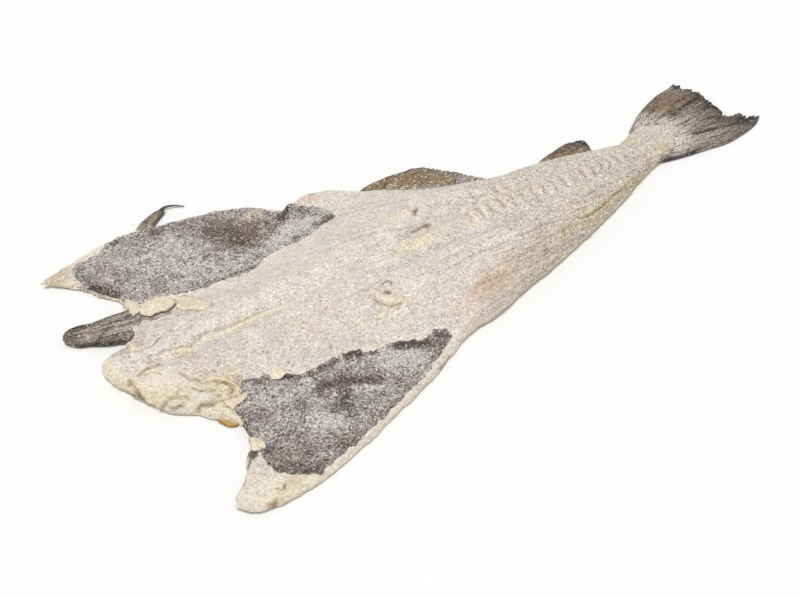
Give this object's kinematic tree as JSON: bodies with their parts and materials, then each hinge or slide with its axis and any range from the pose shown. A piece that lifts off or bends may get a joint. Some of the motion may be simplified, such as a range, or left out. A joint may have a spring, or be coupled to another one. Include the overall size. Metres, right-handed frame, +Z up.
{
  "type": "salted dried cod",
  "caption": "Whole headed cod, split along the belly, salted and dried flat, lying flesh side up with its belly flaps spread, fins and tail left on.",
  "frame": {"origin": "on the surface that the fish lies on, under the middle of its box", "axes": "+X along the fish from its neck to its tail, +Y towards the side that carries the anal fins, +Z up, flesh side up"},
  "size_m": [0.731, 0.3744, 0.0379],
  "materials": {
    "flesh": "matte",
    "skin": "satin",
    "belly_lining": "matte",
    "fin": "satin",
    "membrane": "satin",
    "salt": "satin"
  },
  "bodies": {
    "root": {"salted_cod": "flesh"}
  },
  "joints": []
}
